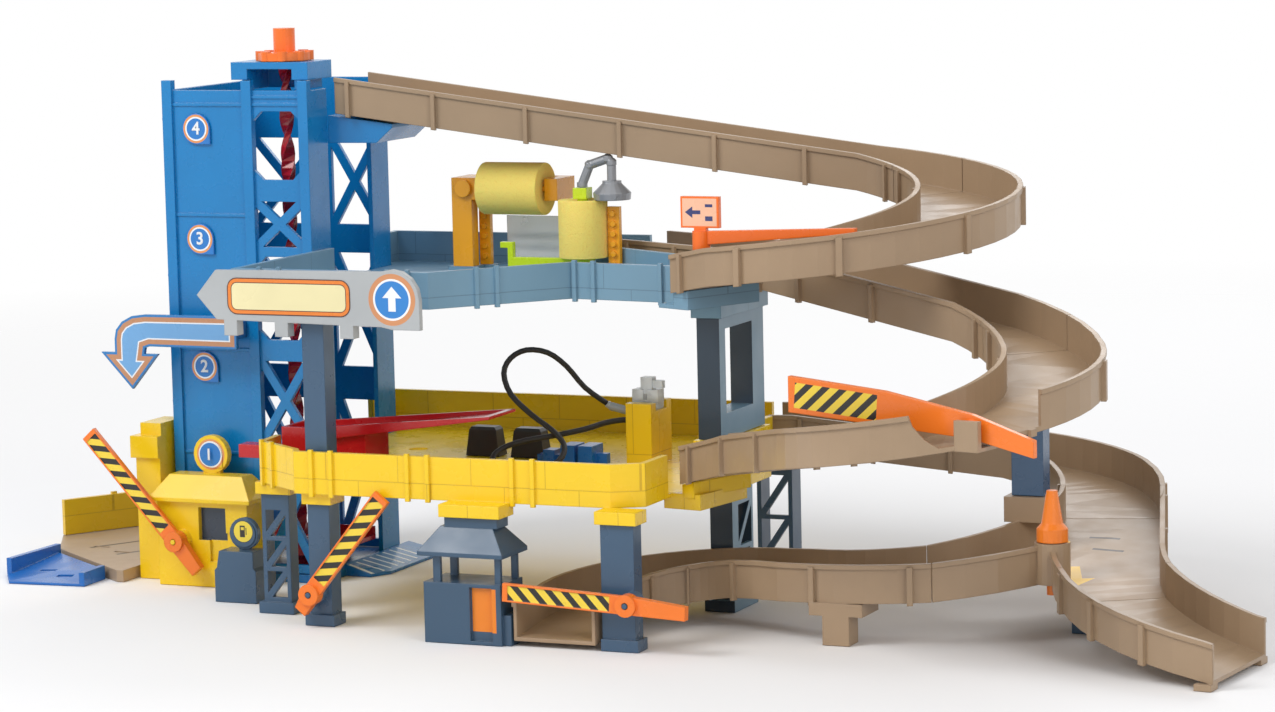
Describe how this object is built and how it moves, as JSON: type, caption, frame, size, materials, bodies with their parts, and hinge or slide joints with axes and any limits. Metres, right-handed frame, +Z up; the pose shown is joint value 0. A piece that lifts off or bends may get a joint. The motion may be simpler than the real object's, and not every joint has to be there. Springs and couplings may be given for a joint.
{
  "type": "toy parking garage",
  "caption": "Multi-level toy parking garage with a screw-driven lift tower, yellow decks on columns, sloping car tracks, gates, barriers and a car wash.",
  "frame": {"origin": "middle of the underside of the lift tower's base, on the floor", "axes": "+Z up, +X from the lift tower along the decks to the tracks, -Y towards the viewer at the front"},
  "size_m": [0.6891, 0.3125, 0.279],
  "materials": {
    "tower_blue": "smooth blue plastic with panel lines",
    "deck_pale_blue": "smooth pale blue plastic",
    "base_blue": "smooth blue plastic",
    "track_tan": "satin sand-coloured plastic",
    "deck_yellow": "satin warm yellow plastic",
    "column_steel_blue": "smooth steel-blue plastic",
    "slate": "smooth dark slate plastic",
    "amber": "smooth amber plastic",
    "orange": "smooth orange plastic",
    "grey": "satin grey plastic",
    "black": "satin black plastic",
    "clear": "clear plastic",
    "red": "smooth red plastic",
    "sponge": "open-celled sponge",
    "lime": "smooth lime plastic"
  },
  "bodies": {
    "garage": {"tower_front": "tower_blue", "tower_back": "tower_blue", "tower_base": "base_blue", "tower_head": "base_blue", "entry_ramp": "base_blue", "engine_block": "base_blue", "top_bracket": "tower_blue", "ground_plate": "track_tan", "track_1_upper": "track_tan", "track_1_lower": "track_tan", "track_2_upper": "track_tan", "track_2_lower": "track_tan", "track_3_upper": "track_tan", "track_3_fork": "track_tan", "track_3_left": "track_tan", "track_3_exit": "track_tan", "deck_2": "deck_yellow", "deck_3": "deck_pale_blue", "ground_booth": "deck_yellow", "curb": "deck_yellow", "column_front_lower": "column_steel_blue", "column_front_upper": "column_steel_blue", "column_slim": "column_steel_blue", "column_rear": "column_steel_blue", "column_corner": "column_steel_blue", "prop": "column_steel_blue", "fuel_pump": "column_steel_blue", "gas_booth": "column_steel_blue", "wash_frame": "amber", "portal_upper": "slate", "portal_lower": "slate", "fork_stub": "slate", "badge_2": "tower_blue", "badge_3": "tower_blue", "badge_4": "tower_blue", "arrow_sign": "base_blue", "big_sign": "grey", "wash_screen": "grey", "nozzle": "grey", "stud_strip_left": "amber", "stud_strip_right": "amber", "black_stand_left": "black", "black_stand_right": "black", "hose": "black", "clear_motor": "clear"},
    "lift_drive": {"lift_knob": "orange", "lift_screw": "red"},
    "lift_car": {"lift_platform": "red"},
    "left_barrier": {"barrier_left": "orange"},
    "front_barrier": {"barrier_front": "orange"},
    "exit_barrier": {"barrier_exit": "orange"},
    "upper_gate": {"gate_upper": "orange"},
    "lower_gate": {"gate_lower": "orange"},
    "marker": {"cone_marker": "orange"},
    "tipping_ramp": {"tip_ramp": "red"},
    "top_roller": {"roller_horizontal": "sponge"},
    "lever": {"wash_lever": "lime", "shower": "grey"},
    "side_roller": {"roller_vertical": "sponge"}
  },
  "joints": [
    {"name": "lift_turn", "type": "hinge", "parent": "garage", "child": "lift_drive", "pos_m": [0.0226, -0.0292, 0.2629], "axis": [0, 0, 1], "range_deg": [0, 1548]},
    {"name": "lift_rise", "type": "slide", "parent": "garage", "child": "lift_car", "axis": [0, 0, 1], "range_m": [0, 0.2236]},
    {"name": "left_barrier_turn", "type": "hinge", "parent": "garage", "child": "left_barrier", "pos_m": [-0.0239, -0.0752, 0.0238], "axis": [0, -1, 0], "range_deg": [0, 46]},
    {"name": "front_barrier_turn", "type": "hinge", "parent": "garage", "child": "front_barrier", "pos_m": [0.0929, -0.1513, 0.0165], "axis": [0, 1, 0], "range_deg": [0, 48]},
    {"name": "exit_barrier_turn", "type": "hinge", "parent": "garage", "child": "exit_barrier", "pos_m": [0.2636, -0.1672, 0.0232], "axis": [0, 1, 0], "range_deg": [0, 30]},
    {"name": "upper_gate_turn", "type": "hinge", "parent": "garage", "child": "upper_gate", "pos_m": [0.27712, -0.1027, 0.16441], "axis": [0, 0, 1], "range_deg": [0, 12]},
    {"name": "lower_gate_turn", "type": "hinge", "parent": "garage", "child": "lower_gate", "pos_m": [0.4411, -0.2007, 0.115], "axis": [-0.1944, -0.9809, 0], "range_deg": [0, 8]},
    {"name": "marker_turn", "type": "hinge", "parent": "garage", "child": "marker", "pos_m": [0.43739, -0.07925, 0.04629], "axis": [0, 0, 1], "range_deg": [-35, 35]},
    {"name": "ramp_tip", "type": "hinge", "parent": "garage", "child": "tipping_ramp", "pos_m": [0.0671, -0.0947, 0.0717], "axis": [0, 1, 0], "range_deg": [-8, 3.5]},
    {"name": "top_roller_spin", "type": "hinge", "parent": "garage", "child": "top_roller", "pos_m": [0.1291, 0.0118, 0.1962], "axis": [1, 0, 0], "continuous": true},
    {"name": "lever_turn", "type": "hinge", "parent": "garage", "child": "lever", "pos_m": [0.1745, -0.0072, 0.1571], "axis": [0, 0, 1], "range_deg": [-25, 25]},
    {"name": "side_roller_spin", "type": "hinge", "parent": "lever", "child": "side_roller", "pos_m": [0.1745, -0.0072, 0.164], "axis": [0, 0, 1], "continuous": true}
  ],
  "couplings": [
    {"joint": "lift_rise", "follows": "lift_turn", "m_per_rad": 0.0082761}
  ]
}
